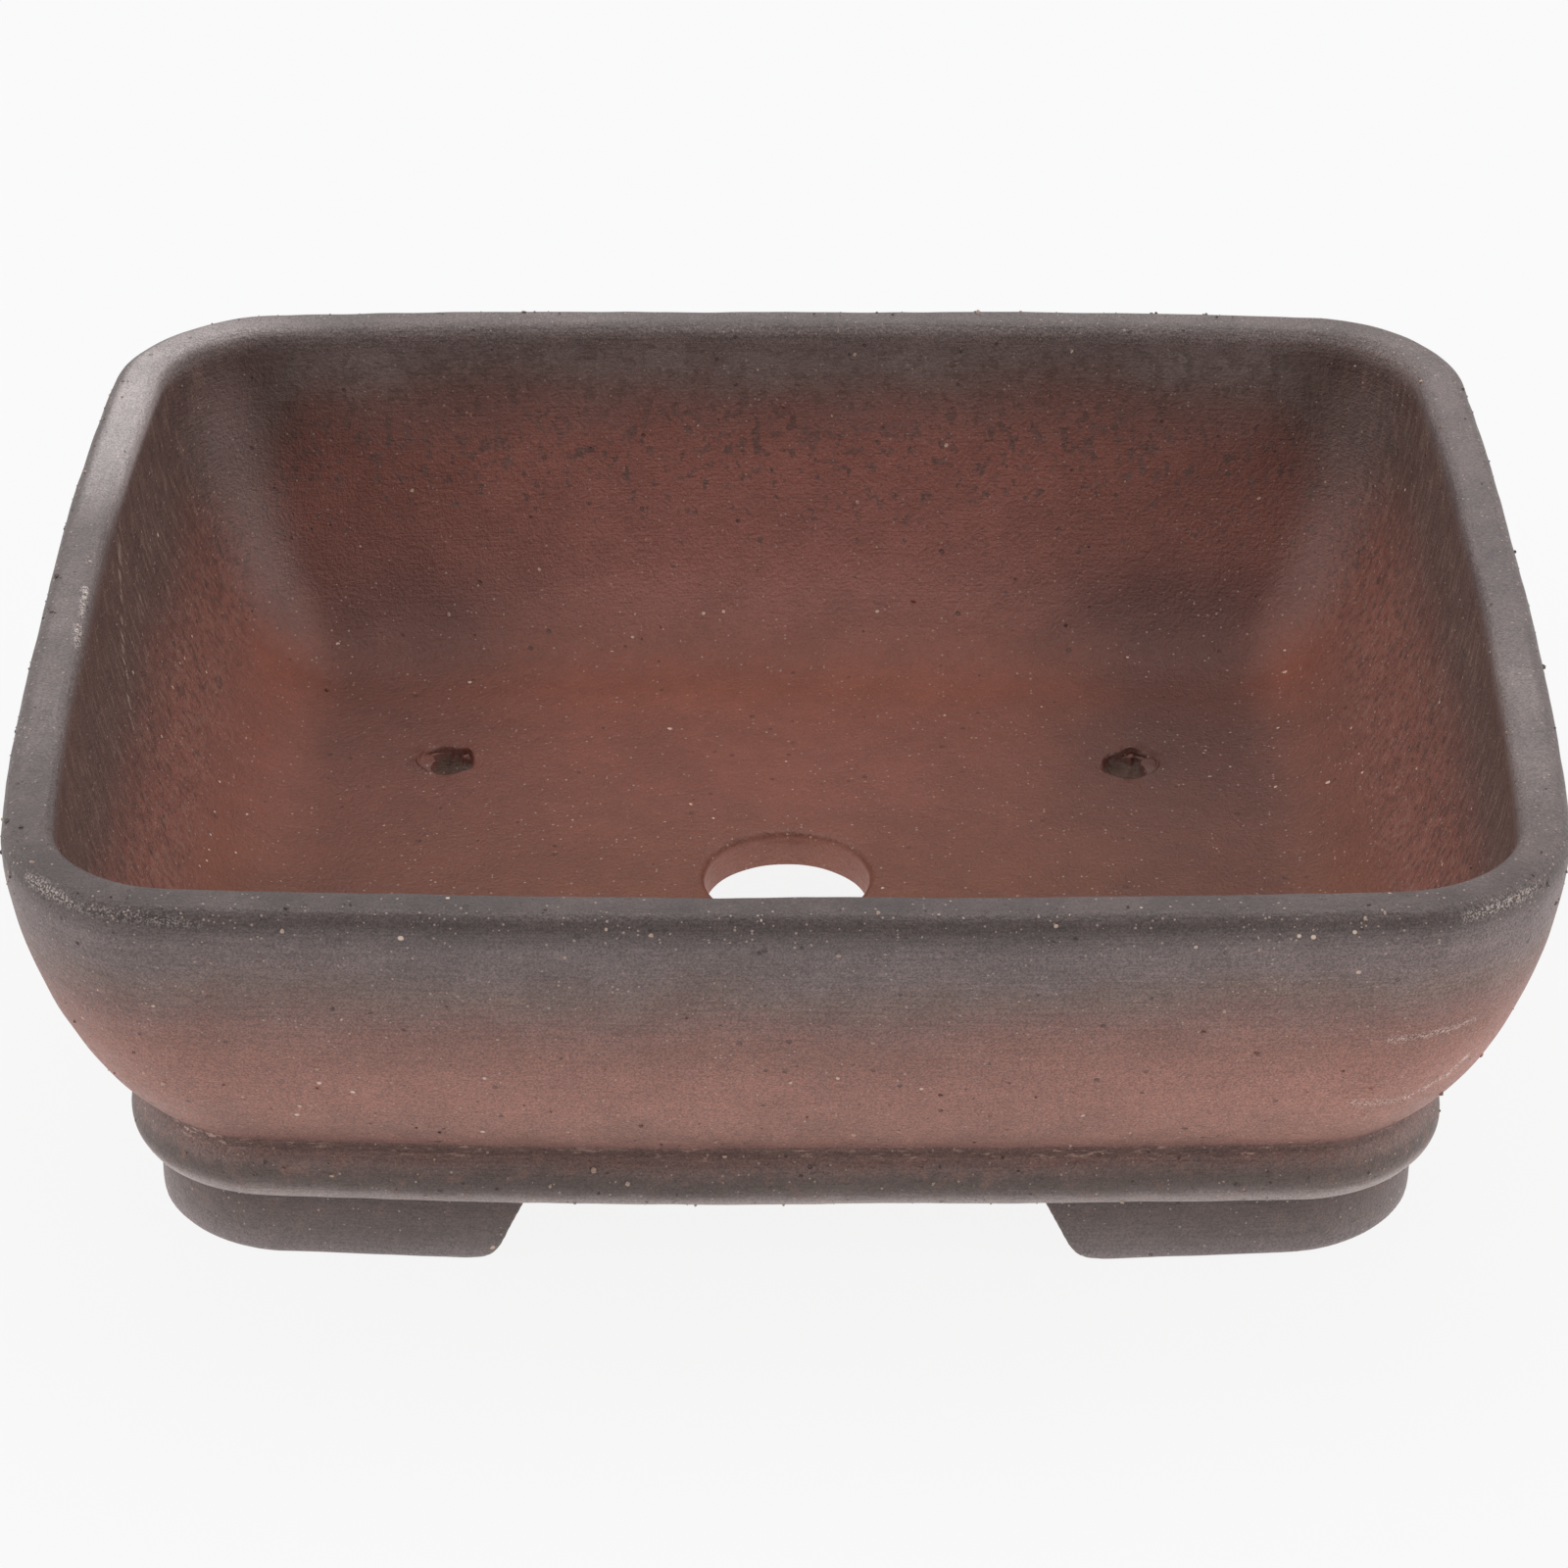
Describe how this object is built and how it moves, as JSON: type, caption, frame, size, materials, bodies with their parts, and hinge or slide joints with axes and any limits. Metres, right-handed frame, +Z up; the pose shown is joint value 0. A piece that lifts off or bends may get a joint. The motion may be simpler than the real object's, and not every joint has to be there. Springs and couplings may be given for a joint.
{
  "type": "bonsai pot",
  "caption": "Shallow rectangular unglazed clay bonsai pot with rounded corners, a foot band, corner feet, a drain hole and wiring holes.",
  "frame": {"origin": "on the table plane under the middle of the pot", "axes": "+X along the pot's length, +Y towards its back, +Z up"},
  "size_m": [0.1806, 0.1558, 0.0555],
  "materials": {
    "wall_clay": "unglazed, smoked grey to red-brown",
    "floor_clay": "unglazed, red-brown",
    "band_clay": "unglazed, smoked dark",
    "foot_clay": "unglazed, smoked dark"
  },
  "bodies": {
    "root": {"wall": "wall_clay", "floor_slab": "floor_clay", "foot_band": "band_clay", "foot_front_left": "foot_clay", "foot_front_right": "foot_clay", "foot_back_left": "foot_clay", "foot_back_right": "foot_clay"}
  },
  "joints": []
}
